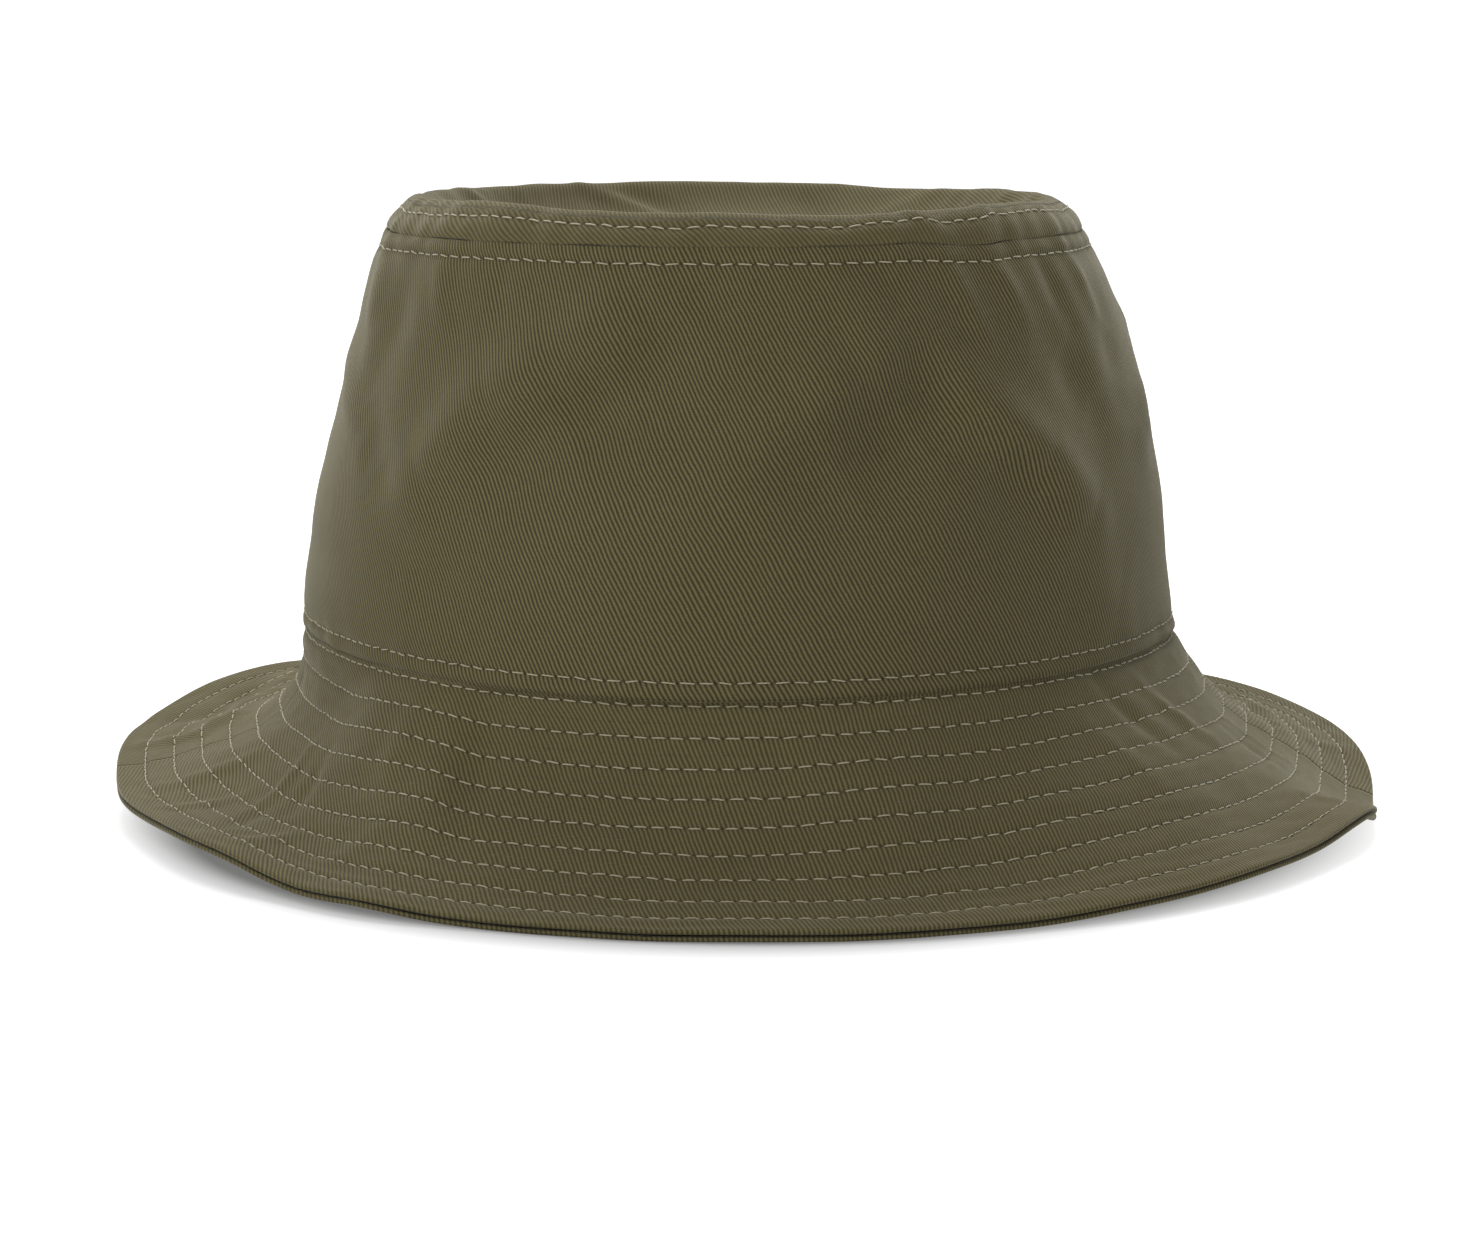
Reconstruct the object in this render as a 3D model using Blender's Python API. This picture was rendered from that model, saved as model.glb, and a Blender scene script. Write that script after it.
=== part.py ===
"""Bucket hat, stood on its brim.

Frame: origin on the standing plane under the middle of the brim, +Z up, front of the hat towards -Y,
wearer's right-hand side seam at -X. Metres.

Every cloth piece is one layer of fabric: a sheet with a Solidify modifier. The layers nest with a small gap, lap
inside each other at the seams, and the sewing thread lies on top of them.
"""

import math

import bmesh
import bpy

MM = 0.001

# Crown
SEAM_HALF_WIDTH = 94.3 * MM  # outside of the crown at the brim seam, side to side
SEAM_HALF_DEPTH = 97.4 * MM  # the same, front to back
TOP_HALF_WIDTH = 75.4 * MM  # outside of the crown at the top seam
TOP_HALF_DEPTH = 77.9 * MM
SEAM_Z = 39.0 * MM  # brim seam
TOP_SEAM_Z = 126.2 * MM  # seam between the side panels and the top panel
RIM_Z = 131.6 * MM  # highest line of the rolled rim
CROWN_BULGE = 1.7  # how late the wall draws in towards the top
TIP_SINK = 9.5 * MM  # how far the top panel's middle lies below the rim

# Brim
BRIM_HALF_WIDTH = 136.0 * MM
BRIM_HALF_DEPTH = 139.0 * MM
SIDE_LIFT = 6.0 * MM  # how far the brim's edge rises at the two sides
REST_ARC = math.radians(38.0)  # each side of front and back centre, the edge lies flat on the ground
REST_STRIP = 3.0 * MM  # width of that flat strip
BRIM_ROWS = 9
FIRST_ROW = 3.4 * MM  # from the seam
LAST_ROW = 6.6 * MM  # from the edge

# Cloth
CLOTH = 0.7 * MM
INTERLINING = 0.4 * MM
GAP = 0.3 * MM
ALLOWANCE = 9.0 * MM  # turned-in edge at the brim seam
TIP_ALLOWANCE = 6.0 * MM  # turned-in edge at the top seam
SIDE_SEAM_GAP = 0.35 * MM
THREAD = 0.4 * MM  # diameter
TAPE_WIDTH = 13.0 * MM
SWEATBAND_WIDTH = 32.0 * MM

# Label
LABEL_WIDTH = 24.0 * MM
LABEL_LENGTH = 30.0 * MM
LABEL_THICK = 0.5 * MM

SEGMENTS = 48  # round the hat
BRIM_STEPS = 5  # from the seam to the flat strip
WALL_STEPS = 4  # between the two turned-in edges

BRIM_STACK = 3 * GAP + 2 * CLOTH + INTERLINING - GAP  # under layer, interlining, upper layer


def side_weight(angle):
    """0 at front and back, 1 at the two sides, level over the rest arcs."""
    off_centre = math.acos(min(1.0, abs(math.sin(angle))))
    t = max(0.0, off_centre - REST_ARC) / (math.pi / 2 - REST_ARC)
    return t * t * (3 - 2 * t)


def blend(a, b, t):
    return a + (b - a) * t


def oval(half_width, half_depth, angle):
    """Distance from the axis to an ellipse, in the direction of this angle."""
    return half_width * half_depth / math.hypot(half_depth * math.cos(angle), half_width * math.sin(angle))


def wall_radius(angle, z):
    """Outside of the crown's wall at this height."""
    up = (z - SEAM_Z) / (TOP_SEAM_Z - SEAM_Z)
    bottom = oval(SEAM_HALF_WIDTH, SEAM_HALF_DEPTH, angle)
    top = oval(TOP_HALF_WIDTH, TOP_HALF_DEPTH, angle)
    if up <= 0:
        return bottom
    return bottom + (top - bottom) * up**CROWN_BULGE


def offset_line(line, distance):
    """The line moved to its left by this distance, with mitred corners."""
    result = []
    for i, (r, z) in enumerate(line):
        before = line[max(i - 1, 0)]
        after = line[min(i + 1, len(line) - 1)]
        normals = []
        for (r0, z0), (r1, z1) in ((before, (r, z)), ((r, z), after)):
            length = math.hypot(r1 - r0, z1 - z0)
            if length > 0:
                normals.append((-(z1 - z0) / length, (r1 - r0) / length))
        nr = sum(n[0] for n in normals) / len(normals)
        nz = sum(n[1] for n in normals) / len(normals)
        size = nr * nr + nz * nz
        result.append((r + nr / size * distance, z + nz / size * distance))
    return result


def brim_base(angle, with_allowance=True):
    """Lower face of the brim in the half plane at this angle, from the seam out to the edge."""
    side = side_weight(angle)
    start = wall_radius(angle, SEAM_Z) - CLOTH - GAP - BRIM_STACK
    edge = oval(BRIM_HALF_WIDTH, BRIM_HALF_DEPTH, angle)
    edge_z = SIDE_LIFT * side
    p0 = (start, SEAM_Z - 1.2 * MM)
    p1 = (start + blend(9.0, 5.5, side) * MM, blend(13.5, 10.5, side) * MM)
    p2 = (edge - REST_STRIP, edge_z)
    line = []
    if with_allowance:
        lean = wall_radius(angle, SEAM_Z + ALLOWANCE) - wall_radius(angle, SEAM_Z)
        line.append((start + lean, SEAM_Z + ALLOWANCE))
    for i in range(BRIM_STEPS + 1):
        t = i / BRIM_STEPS
        a, b, c = (1 - t) ** 2, 2 * t * (1 - t), t * t
        line.append((a * p0[0] + b * p1[0] + c * p2[0], a * p0[1] + b * p1[1] + c * p2[1]))
    line.append((edge, edge_z))
    return line


def brim_layer(angle, height, with_allowance=True, trim=0.0):
    """One face of the brim's stack, this high above its lower face. trim shortens it at the edge."""
    line = offset_line(brim_base(angle, with_allowance), height)
    if trim:
        (r0, z0), (r1, z1) = line[-2], line[-1]
        line[-1] = (r1 - trim, blend(z0, z1, 1 - trim / (r1 - r0)))
    return line


def brim_point(angle, share, height):
    """A point over the brim, at this share of the way along it from the seam to the edge."""
    line = brim_layer(angle, height, with_allowance=False)
    lengths = [math.dist(a, b) for a, b in zip(line, line[1:])]
    left = share * sum(lengths)
    for (a, b), length in zip(zip(line, line[1:]), lengths):
        if left <= length:
            t = left / length
            return blend(a[0], b[0], t), blend(a[1], b[1], t)
        left -= length
    return line[-1]


def wall_line(angle, z_low, z_high, inset, steps):
    """A line up the crown's wall, this far inside its outer face, from the top down."""
    line = []
    for i in range(steps + 1):
        z = blend(z_high, z_low, i / steps)
        line.append((wall_radius(angle, z) - inset, z))
    return line


def panel_line(angle):
    """Outer face of a side panel, with a line of points level with each turned-in edge that lies behind it."""
    low = wall_line(angle, SEAM_Z + 0.2 * MM, SEAM_Z + ALLOWANCE, 0.0, 1)
    middle = wall_line(angle, SEAM_Z + ALLOWANCE, TOP_SEAM_Z - TIP_ALLOWANCE, 0.0, WALL_STEPS)
    high = wall_line(angle, TOP_SEAM_Z - TIP_ALLOWANCE, TOP_SEAM_Z, 0.0, 1)
    return high[:1] + middle + low[1:]


def tip_line(angle):
    """Outer face of the top panel: from its middle, up over the rolled rim, down to the seam and its turned-in edge."""
    rim = wall_radius(angle, TOP_SEAM_Z)
    floor = RIM_Z - TIP_SINK
    inner = rim - CLOTH - GAP
    return [
        (0.0, floor),
        (rim * 0.45, floor + 0.4 * MM),
        (rim * 0.76, floor + 2.2 * MM),
        (rim - 8.0 * MM, RIM_Z - 4.6 * MM),
        (rim - 4.6 * MM, RIM_Z - 1.2 * MM),
        (rim - 2.9 * MM, RIM_Z),
        (rim - 1.4 * MM, RIM_Z - 0.9 * MM),
        (rim + 0.1 * MM, TOP_SEAM_Z + 1.9 * MM),
        (rim + 0.1 * MM, TOP_SEAM_Z + 0.8 * MM),
        (inner, TOP_SEAM_Z + 0.4 * MM),
        (inner + (wall_radius(angle, TOP_SEAM_Z - TIP_ALLOWANCE) - rim), TOP_SEAM_Z - TIP_ALLOWANCE),
    ]


def clear_scene():
    for obj in list(bpy.data.objects):
        bpy.data.objects.remove(obj, do_unlink=True)
    for mesh in list(bpy.data.meshes):
        bpy.data.meshes.remove(mesh)


def make_material(name, colour, roughness, metallic=0.0, sheen=0.0):
    material = bpy.data.materials.new(name)
    material.use_nodes = True
    shader = material.node_tree.nodes["Principled BSDF"]
    shader.inputs["Base Color"].default_value = (*colour, 1.0)
    shader.inputs["Roughness"].default_value = roughness
    shader.inputs["Metallic"].default_value = metallic
    shader.inputs["Sheen Weight"].default_value = sheen
    material.diffuse_color = (*colour, 1.0)
    return material


def add_to_scene(obj, material, parent):
    obj.data.materials.append(material)
    bpy.context.scene.collection.objects.link(obj)
    obj.parent = parent
    return obj


def spun_sheet(name, line_at, angles, closed, thickness, material, parent, grow=-1.0):
    """A cloth sheet. line_at(angle) is its section. The thickness lies under that line, or over it where grow is 1."""
    bm = bmesh.new()
    columns = []
    pole = None
    for angle in angles:
        column = []
        for r, z in line_at(angle):
            if r < 1e-6:
                if pole is None:
                    pole = bm.verts.new((0.0, 0.0, z))
                column.append(pole)
            else:
                column.append(bm.verts.new((r * math.cos(angle), r * math.sin(angle), z)))
        columns.append(column)
    pairs = list(zip(columns, columns[1:]))
    if closed:
        pairs.append((columns[-1], columns[0]))
    for left, right in pairs:
        for i in range(len(left) - 1):
            corners = [left[i], left[i + 1], right[i + 1], right[i]]
            if left[i] is right[i]:
                corners = corners[:3]
            bm.faces.new(corners)
    mesh = bpy.data.meshes.new(name)
    bm.to_mesh(mesh)
    bm.free()
    mesh.shade_smooth()
    obj = bpy.data.objects.new(name, mesh)
    solidify = obj.modifiers.new("cloth thickness", "SOLIDIFY")
    solidify.thickness = thickness
    solidify.offset = grow
    solidify.use_even_offset = True
    solidify.use_rim = True
    return add_to_scene(obj, material, parent)


def thread_ring(name, point_at, material, parent):
    """A row of stitching that runs all round the hat, as one ring of thread."""
    curve = bpy.data.curves.new(name, "CURVE")
    curve.dimensions = "3D"
    curve.bevel_depth = THREAD / 2
    curve.bevel_resolution = 0
    curve.use_fill_caps = True
    spline = curve.splines.new("POLY")
    spline.points.add(SEGMENTS - 1)
    for i, point in enumerate(spline.points):
        angle = 2 * math.pi * i / SEGMENTS
        r, z = point_at(angle)
        point.co = (r * math.cos(angle), r * math.sin(angle), z, 1.0)
    spline.use_cyclic_u = True
    obj = bpy.data.objects.new(name, curve)
    return add_to_scene(obj, material, parent)


def half_angles(front):
    """Angles of one half of the hat, stopping just short of the side seams."""
    start = math.pi if front else 0.0
    step = 2 * math.pi / SEGMENTS
    angles = [start + step * i for i in range(SEGMENTS // 2 + 1)]
    trim = SIDE_SEAM_GAP / 2 / SEAM_HALF_WIDTH
    angles[0] += trim
    angles[-1] -= trim
    return angles


def main():
    clear_scene()
    hat = bpy.data.objects.new("hat", None)
    bpy.context.scene.collection.objects.link(hat)

    olive = (0.088, 0.074, 0.036)
    twill = {
        name: make_material(name, colour, 0.92, sheen=0.4)
        for name, colour in {
            "tip twill": olive,
            "front panel twill": olive,
            "back panel twill": olive,
            "upper brim front twill": olive,
            "upper brim back twill": olive,
            "under brim front twill": (0.08, 0.067, 0.033),
            "under brim back twill": (0.08, 0.067, 0.033),
        }.items()
    }
    ring = [2 * math.pi * i / SEGMENTS for i in range(SEGMENTS)]

    # Top panel: over the rim, its turned-in edge laps inside the side panels.
    spun_sheet("crown_tip", tip_line, ring, True, CLOTH, twill["tip twill"], hat)

    # Crown wall in two halves, seamed at the sides.
    for front, name, cloth in ((True, "side_panel_front", "front panel twill"), (False, "side_panel_back", "back panel twill")):
        spun_sheet(
            name,
            panel_line,
            half_angles(front),
            False,
            CLOTH,
            twill[cloth],
            hat,
        )

    # Brim: upper layer, interlining and under layer. Both cloth layers turn up inside the crown.
    upper_top = BRIM_STACK
    lining_top = CLOTH + GAP + INTERLINING
    for front, half in ((True, "front"), (False, "back")):
        spun_sheet(
            "upper_brim_" + half,
            lambda angle: brim_layer(angle, upper_top),
            half_angles(front),
            False,
            CLOTH,
            twill["upper brim " + half + " twill"],
            hat,
        )
        spun_sheet(
            "under_brim_" + half,
            brim_base,
            half_angles(front),
            False,
            CLOTH,
            twill["under brim " + half + " twill"],
            hat,
            grow=1.0,
        )
    spun_sheet(
        "brim_interlining",
        lambda angle: brim_layer(angle, lining_top, with_allowance=False, trim=2.4 * MM)[1:],
        ring,
        True,
        INTERLINING,
        make_material("interlining", (0.62, 0.6, 0.55), 0.9),
        hat,
    )

    # Inside the crown.
    inside_brim = CLOTH + GAP + BRIM_STACK + GAP
    spun_sheet(
        "sweatband",
        lambda angle: wall_line(angle, SEAM_Z, SEAM_Z + SWEATBAND_WIDTH, inside_brim, 2),
        ring,
        True,
        CLOTH,
        make_material("sweatband cotton", (0.075, 0.064, 0.034), 0.85, sheen=0.3),
        hat,
    )
    tape = make_material("seam tape", (0.1, 0.086, 0.046), 0.8)
    inside_tip = 2 * (CLOTH + GAP)
    tape_low = TOP_SEAM_Z - TAPE_WIDTH * 0.62
    spun_sheet(
        "crown_seam_tape",
        lambda angle: wall_line(angle, tape_low, TOP_SEAM_Z - 0.5 * MM, inside_tip, 1),
        ring,
        True,
        INTERLINING,
        tape,
        hat,
    )
    tape_angle = TAPE_WIDTH / 2 / SEAM_HALF_WIDTH
    for name, middle in (("side_seam_tape_right", math.pi), ("side_seam_tape_left", 0.0)):
        spun_sheet(
            name,
            lambda angle: wall_line(angle, SEAM_Z + ALLOWANCE + 1.0 * MM, tape_low - 1.0 * MM, CLOTH + 3 * GAP, 4),
            [middle - tape_angle, middle, middle + tape_angle],
            False,
            INTERLINING,
            make_material(name.replace("_", " "), (0.1, 0.086, 0.046), 0.8),
            hat,
        )

    # Sewing thread. A row is all one ring, which follows the cloth at a hair's distance.
    lift = THREAD / 2 + 0.18 * MM

    def wall_thread(z):
        return lambda angle: (wall_radius(angle, z) + lift, z)

    def tip_thread(angle):
        (r0, z0), (r1, z1) = tip_line(angle)[6:8]
        return blend(r0, r1, 0.5) + lift * 1.3, blend(z0, z1, 0.5)

    thread = make_material("thread", (0.2, 0.18, 0.12), 0.6)
    thread_ring("tip_topstitch", tip_thread, thread, hat)
    thread_ring("side_topstitch", wall_thread(TOP_SEAM_Z - 3.9 * MM), thread, hat)
    thread_ring("crown_topstitch", wall_thread(SEAM_Z + 3.6 * MM), thread, hat)

    brim_length = 57.5 * MM
    for row in range(BRIM_ROWS):
        along = blend(FIRST_ROW, brim_length - LAST_ROW, row / (BRIM_ROWS - 1))
        share = along / brim_length
        thread_ring(
            f"brim_stitch_row_{row + 1}",
            lambda angle, share=share: brim_point(angle, share, BRIM_STACK + lift),
            thread,
            hat,
        )
    thread_ring(
        "sweatband_stitch",
        lambda angle: (
            wall_radius(angle, SEAM_Z + SWEATBAND_WIDTH - 2.5 * MM) - inside_brim - CLOTH - lift,
            SEAM_Z + SWEATBAND_WIDTH - 2.5 * MM,
        ),
        thread,
        hat,
    )

    # Label flap: hangs from its sewn top edge at the centre back, over the sweatband.
    hinge_z = SEAM_Z + SWEATBAND_WIDTH - 4.5 * MM
    inner_wall = wall_radius(math.pi / 2, SEAM_Z + SWEATBAND_WIDTH) - inside_brim - CLOTH
    label_y = inner_wall - THREAD - 1.8 * MM
    label_hinge = bpy.data.objects.new("label_hinge", None)
    label_hinge.location = (0.0, label_y, hinge_z)
    bpy.context.scene.collection.objects.link(label_hinge)
    label_hinge.parent = hat
    bm = bmesh.new()
    bmesh.ops.create_cube(bm, size=1.0)
    bmesh.ops.scale(bm, vec=(LABEL_WIDTH, LABEL_THICK, LABEL_LENGTH), verts=bm.verts)
    bmesh.ops.translate(bm, vec=(0.0, 0.0, -LABEL_LENGTH / 2), verts=bm.verts)
    mesh = bpy.data.meshes.new("care_label")
    bm.to_mesh(mesh)
    bm.free()
    label = bpy.data.objects.new("care_label", mesh)
    bevel = label.modifiers.new("soft corners", "BEVEL")
    bevel.width = 0.12 * MM
    bevel.segments = 1
    add_to_scene(label, make_material("label satin", (0.7, 0.69, 0.66), 0.5), label_hinge)


main()
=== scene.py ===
"""Looks of the bucket hat: woven cloth panels, sewing thread, label, floor, light and camera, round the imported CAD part.

Lengths in the shape functions are millimetres and angles are degrees, 0 at the front (-Y) and growing towards +X.
"""

import math

import bpy
import numpy as np
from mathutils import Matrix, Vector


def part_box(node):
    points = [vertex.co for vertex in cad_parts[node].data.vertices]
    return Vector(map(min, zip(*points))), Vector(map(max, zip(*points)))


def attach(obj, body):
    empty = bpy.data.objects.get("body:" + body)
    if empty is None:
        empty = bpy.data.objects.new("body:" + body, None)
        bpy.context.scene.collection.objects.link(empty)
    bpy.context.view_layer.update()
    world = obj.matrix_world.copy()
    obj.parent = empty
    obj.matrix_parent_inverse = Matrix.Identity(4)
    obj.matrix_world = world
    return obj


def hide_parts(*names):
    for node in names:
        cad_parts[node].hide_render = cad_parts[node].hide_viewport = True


MM = 0.001
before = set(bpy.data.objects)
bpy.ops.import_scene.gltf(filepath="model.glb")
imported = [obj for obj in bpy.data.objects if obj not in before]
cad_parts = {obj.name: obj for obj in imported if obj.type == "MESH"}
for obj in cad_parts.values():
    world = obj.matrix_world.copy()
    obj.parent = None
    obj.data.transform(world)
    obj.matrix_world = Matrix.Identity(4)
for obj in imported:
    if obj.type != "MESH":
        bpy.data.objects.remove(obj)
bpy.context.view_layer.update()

# ---------------------------------------------------------------- numbers

COLUMNS = 720  # mesh columns round the hat
CLOTH = 0.7
BRIM_LENGTH = 58.47
ROW_FIRST = 1.1
ROW_PITCH = 6.39
ROWS = [ROW_FIRST + ROW_PITCH * k for k in range(9)]
STITCH = 3.5
SEAM_TOP_Z = 125.5
TIP_STITCH = 4.4
SIDE_STITCH = 3.4
CROWN_STITCH = 3.5

# Slope of the brim below the horizontal, in degrees: one line for each share of the way out, one column for each angle.
BRIM_T = [-130, -115, -104, -96, -88, -80, -72, -64, -56, -48, -40, -32, -24, -16, -8, 0, 8, 16, 24, 32, 40, 48, 56, 64, 72, 80, 88, 96, 104, 115, 130]
BRIM_S = [0, 0.1, 0.22, 0.36, 0.5, 0.64, 0.78, 0.9, 1.0]
BRIM_SLOPE = [
    [88, 92, 93, 94, 94, 94, 94, 89, 73, 55, 50, 55, 67, 73, 73, 67, 63, 60, 60, 59, 57, 55, 56, 58, 57, 56, 59, 63, 69, 76, 85],
    [71, 75, 80, 86, 92, 93, 89, 80, 63, 50, 50, 54, 66, 71, 68, 61, 55, 51, 54, 52, 49, 48, 49, 52, 53, 54, 59, 59, 61, 64, 69],
    [53, 58, 63, 68, 69, 63, 60, 58, 57, 57, 53, 49, 59, 62, 60, 58, 53, 46, 48, 44, 42, 41, 42, 43, 45, 53, 56, 53, 52, 52, 53],
    [36, 40, 41, 42, 41, 37, 41, 48, 54, 58, 53, 46, 51, 51, 50, 54, 51, 47, 45, 40, 39, 36, 36, 36, 39, 45, 45, 42, 40, 37, 37],
    [20, 23, 23, 22, 23, 26, 35, 40, 45, 49, 48, 44, 40, 37, 40, 46, 47, 49, 45, 41, 39, 37, 38, 39, 38, 36, 30, 27, 26, 24, 22],
    [8, 12, 15, 17, 19, 24, 26, 23, 21, 29, 38, 40, 34, 35, 35, 34, 40, 46, 42, 41, 39, 41, 43, 40, 33, 34, 33, 27, 17, 14, 10],
    [-1, 5, 11, 15, 17, 19, 13, 6, 2, 6, 18, 25, 23, 24, 24, 23, 26, 27, 28, 29, 29, 30, 29, 21, 21, 32, 37, 32, 21, 10, 1],
    [-6, 0, 5, 8, 11, 11, 3, 0, 2, 1, 6, 8, 12, 13, 13, 11, 11, 12, 15, 18, 20, 16, 10, 3, 8, 19, 26, 25, 18, 9, -2],
    [-9, -4, 0, 2, 3, 3, 0, 0, 3, 6, 9, 8, 10, 10, 9, 8, 10, 14, 15, 16, 14, 8, 3, -3, -2, 6, 12, 12, 10, 7, -1],
]
BACK_SLOPE = [76, 70, 60, 51, 42, 31, 19, 9, 4]  # at the centre back, where the edge stands on the ground

# Half width of the crown's wall on each side, and its half depth, against height.
WALL_Z = [38.0, 41.0, 46.2, 50.5, 54.8, 59.1, 63.4, 67.7, 72.0, 76.2, 80.5, 84.8, 89.0, 93.3, 97.5, 101.8, 106.0, 110.2, 116.6, 119.1, 122.9, 125.5, 127.5]
WALL_L = [94.4, 94.1, 94.0, 93.6, 92.9, 92.2, 91.8, 91.1, 90.2, 89.0, 87.9, 86.5, 85.4, 84.2, 83.3, 82.3, 81.2, 80.5, 79.0, 78.3, 76.8, 75.6, 74.4]
WALL_R = [93.9, 93.3, 92.7, 92.1, 91.5, 91.2, 90.9, 90.7, 90.3, 89.8, 89.2, 88.8, 87.8, 86.6, 85.0, 83.4, 81.8, 80.2, 77.7, 76.5, 74.7, 73.5, 72.4]
WALL_D = [99.4, 98.5, 97.6, 96.9, 96.3, 95.7, 95.1, 94.4, 93.6, 92.7, 91.6, 90.4, 89.2, 87.9, 86.7, 85.4, 84.1, 82.9, 81.0, 80.2, 79.0, 78.1, 77.4]

RIM_T = [-180, -150, -120, -90, -60, -40, -28, 0, 15, 25, 37, 49, 65, 90, 110, 130, 150, 165]
RIM_Z = [132.3, 132.4, 132.2, 131.7, 131.9, 132.2, 131.5, 131.2, 131.3, 131.9, 132.3, 132.9, 132.7, 131.9, 131.9, 131.6, 131.3, 132.0]


# Floor glow: full beyond the second number, dimmed inwards to the third at the first: a painted contact shadow round
# the hat. The first two numbers are shares of a 137 by 160 mm ellipse.
FLOOR_IN, FLOOR_OUT, FLOOR_DARK = 0.875, 1.045, 0.16
SKY_TOP = 0.34
KEY, LEFT, TOP, RIGHT = 34.0, 4.2, 14.0, 2.0

# ---------------------------------------------------------------- numeric helpers


_second = {}


def natural(knots, x):
    """Matrix that turns knot values into the natural cubic spline's values at x."""
    k = np.asarray(knots, float)
    x = np.asarray(x, float)
    n = len(k)
    h = np.diff(k)
    key = k.tobytes()
    if key not in _second:
        a = np.eye(n)
        b = np.zeros((n, n))
        for i in range(1, n - 1):
            a[i, i - 1], a[i, i], a[i, i + 1] = h[i - 1], 2 * (h[i - 1] + h[i]), h[i]
            b[i, i - 1], b[i, i], b[i, i + 1] = 6 / h[i - 1], -6 / h[i - 1] - 6 / h[i], 6 / h[i]
        _second[key] = np.linalg.solve(a, b)
    m = _second[key]
    j = np.clip(np.searchsorted(k, x) - 1, 0, n - 2)
    hj = h[j]
    p = (k[j + 1] - x) / hj
    q = (x - k[j]) / hj
    out = np.zeros((len(x), n))
    rows = np.arange(len(x))
    out[rows, j] += p
    out[rows, j + 1] += q
    out += ((p**3 - p) * hj**2 / 6)[:, None] * m[j] + ((q**3 - q) * hj**2 / 6)[:, None] * m[j + 1]
    return out


def periodic(knots, t):
    """The same for knots that repeat every 360 degrees."""
    k = np.asarray(knots, float)
    n = len(k)
    full = natural(np.concatenate([k - 360, k, k + 360]), (np.asarray(t, float) + 180) % 360 - 180)
    return full[:, :n] + full[:, n : 2 * n] + full[:, 2 * n :]


def taps(x):
    """Four weights of the cubic B-spline for a fractional place x, scaled so that random knots keep about unit size."""
    return [(1 - x) ** 3 / 6 * 1.5, (3 * x**3 - 6 * x**2 + 4) / 6 * 1.5, (-3 * x**3 + 3 * x**2 + 3 * x + 1) / 6 * 1.5, x**3 / 6 * 1.5]


def lattice(t, v, around, along, seed, v_range=(0.0, 1.0)):
    """Smooth random relief of about unit size over (t, v), which repeats round the hat."""
    grid = np.random.default_rng(seed).normal(size=(around, along + 3))
    a = (np.asarray(t, float) % 360) / 360 * around
    i = np.floor(a).astype(int)
    rows = sum(w[:, None] * grid[(i + k) % around] for k, w in enumerate(taps(a - i)))
    b = np.clip((np.asarray(v, float) - v_range[0]) / (v_range[1] - v_range[0]), 0, 0.99999) * along
    j = np.floor(b).astype(int)
    return sum(w[None, :] * rows[:, j + k] for k, w in enumerate(taps(b - j)))


def read_rows(x, low, high, table):
    """Row i of table, given on an even grid from low to high, read at x[i]."""
    count = table.shape[1]
    f = np.clip((x - low) / (high - low), 0, 1) * (count - 1)
    i = np.minimum(f.astype(int), count - 2)
    f = f - i
    return np.take_along_axis(table, i, 1) * (1 - f) + np.take_along_axis(table, i + 1, 1) * f


def step(a, b, x):
    x = np.clip((np.asarray(x, float) - a) / (b - a), 0, 1)
    return x * x * (3 - 2 * x)


def sind(t):
    return np.sin(np.radians(t))


def cosd(t):
    return np.cos(np.radians(t))


def unit(v):
    return v / np.maximum(np.linalg.norm(v, axis=-1, keepdims=True), 1e-12)


def wrap(t):
    return (np.asarray(t, float) + 180) % 360 - 180


# ---------------------------------------------------------------- shape of the crown's wall


def seam_extra(t):
    return 3.53 * cosd(3 * t) - 0.18 * cosd(t) + 0.39 * sind(2 * t)


def wobble(t):
    """How far the top seam wanders up and down."""
    flat = np.ravel(t)
    drift = 0.12 * lattice(flat, [0.5], 16, 1, 31)[:, 0] + 0.05 * lattice(flat, [0.5], 60, 1, 32)[:, 0]
    return drift.reshape(np.shape(t)) - 0.75 * np.exp(-(((wrap(t) - 38) / 7.0) ** 2)) + 0.3 * np.exp(-(((wrap(t) - 26) / 4.0) ** 2))


def seam_z(t):
    return 39.04 - 1.36 * np.clip(sind(t), 0, 1) ** 2 - 0.55 * np.clip(-sind(t), 0, 1) ** 2 - 0.55 * (cosd(2 * t) - 1) + 0.33 * sind(2 * t)


def wall_radius(t, z):
    """Outside of the wall. t and z are arrays of one shape."""
    side = np.where(sind(t) < 0, np.interp(z, WALL_Z, WALL_L), np.interp(z, WALL_Z, WALL_R))
    depth = np.interp(z, WALL_Z, WALL_D)
    depth = depth - 1.1 * (cosd(t) < 0) * cosd(t) ** 2 * step(126, 60, z)
    r = 1 / np.sqrt((sind(t) / side) ** 2 + (cosd(t) / depth) ** 2)
    return r + seam_extra(t) * np.exp(-np.clip(z - 39, 0, None) / 45.0)


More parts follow.
